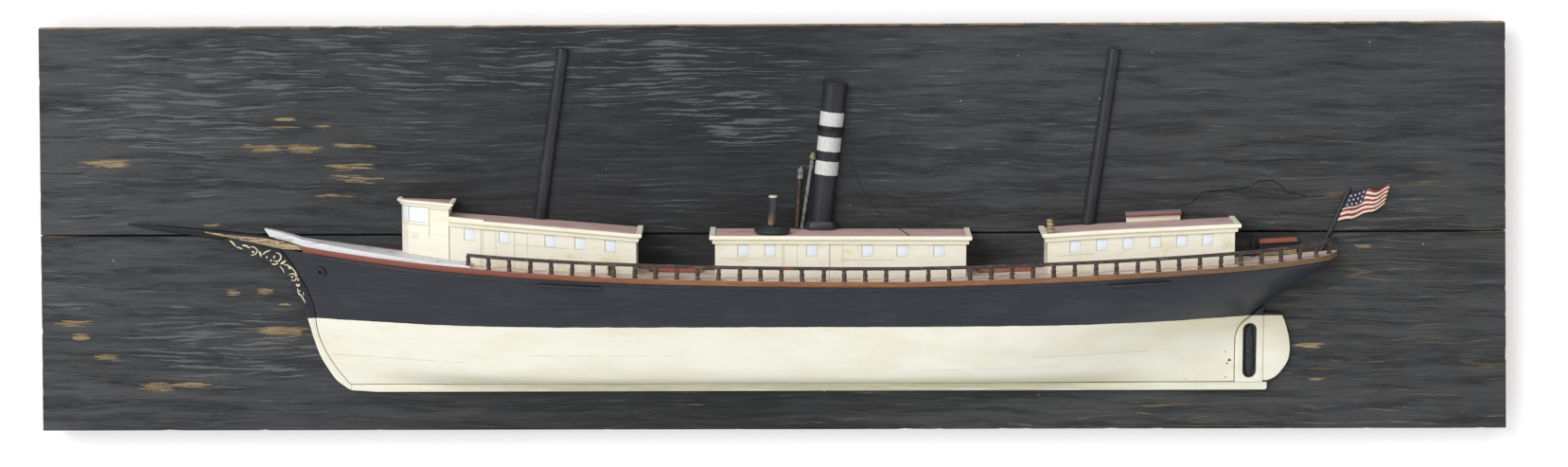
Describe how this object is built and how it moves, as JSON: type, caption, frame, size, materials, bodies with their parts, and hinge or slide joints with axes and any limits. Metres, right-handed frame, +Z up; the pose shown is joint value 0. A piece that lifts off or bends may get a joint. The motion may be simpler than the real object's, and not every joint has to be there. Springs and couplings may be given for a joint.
{
  "type": "ship half hull model",
  "caption": "Wall-hung half hull model of a screw steamer: carved hull, deckhouses, railing, funnel and masts on a plank backboard with battens behind.",
  "frame": {"origin": "middle of the centre batten's back face, where it lies on the wall", "axes": "+X along the board towards the ship's stern, +Y into the wall, +Z up; the ship faces -Y with its bow to -X"},
  "size_m": [1.8405, 0.1375, 0.5148],
  "materials": {
    "worn_slate_paint": "worn slate-grey oil paint on planed softwood planks, matt, scuffed to grey and tan along the grain",
    "bare_pine": "bare sawn pine",
    "hull_paint": "old oil paint on carved wood lifts: blue-black topsides over a cream bottom, satin",
    "cream_paint": "aged cream oil paint on wood, satin",
    "black_paint": "blue-black oil paint on wood, satin",
    "worn_white_paint": "thin worn white paint on wood",
    "bare_old_wood": "bare weathered wood with traces of varnish",
    "deck_paint": "worn brown paint on wood, rubbed through at the edge",
    "rail_paint": "dark brown paint on turned wood, worn",
    "roof_paint": "dusty faded red-brown paint on wood",
    "oxide_red_paint": "red oxide paint on wood, rubbed",
    "funnel_paint": "black paint with three white bands on turned wood",
    "dark_iron": "dark oiled iron wire, strap and turned fittings",
    "grey_metal": "dull grey painted metal rod",
    "flag_paint": "carved wood painted in red and white stripes with a blue corner"
  },
  "bodies": {
    "root": {"aft_house_cornice": "cream_paint", "aft_house_roof": "roof_paint", "aft_house_walls": "cream_paint", "batten_left": "bare_pine", "batten_middle": "bare_pine", "batten_right": "bare_pine", "binnacle": "dark_iron", "bitt": "deck_paint", "bowsprit": "black_paint", "channel_aft": "black_paint", "channel_fore": "black_paint", "deck": "deck_paint", "flag": "flag_paint", "flagstaff": "black_paint", "foremast": "black_paint", "forward_house_cornice": "cream_paint", "forward_house_roof": "roof_paint", "forward_house_walls": "cream_paint", "funnel": "funnel_paint", "funnel_base": "black_paint", "funnel_strap": "dark_iron", "galley_pipe": "deck_paint", "guy_chain": "dark_iron", "hatch_aft": "oxide_red_paint", "hatch_fore": "oxide_red_paint", "hawse_ring": "dark_iron", "head_rail": "bare_old_wood", "hull": "hull_paint", "keel": "cream_paint", "lower_plank": "worn_slate_paint", "mainmast": "black_paint", "mid_house_cornice": "cream_paint", "mid_house_roof": "roof_paint", "mid_house_walls": "cream_paint", "pilothouse_cornice": "cream_paint", "pilothouse_roof": "roof_paint", "pilothouse_walls": "cream_paint", "pipe_lantern": "grey_metal", "propeller": "black_paint", "railing": "rail_paint", "raised_foredeck": "worn_white_paint", "rudder": "hull_paint", "sheer_moulding": "black_paint", "skylight": "worn_white_paint", "skylight_lid": "oxide_red_paint", "steam_pipe": "grey_metal", "steam_whistle": "dark_iron", "stem": "hull_paint", "stern_frame": "hull_paint", "stern_locker_case": "black_paint", "stern_locker_lid": "oxide_red_paint", "stern_locker_plinth": "bare_old_wood", "stove_stub": "bare_old_wood", "upper_plank": "worn_slate_paint", "ventilator_base": "dark_iron", "ventilator_pipe": "black_paint"}
  },
  "joints": []
}
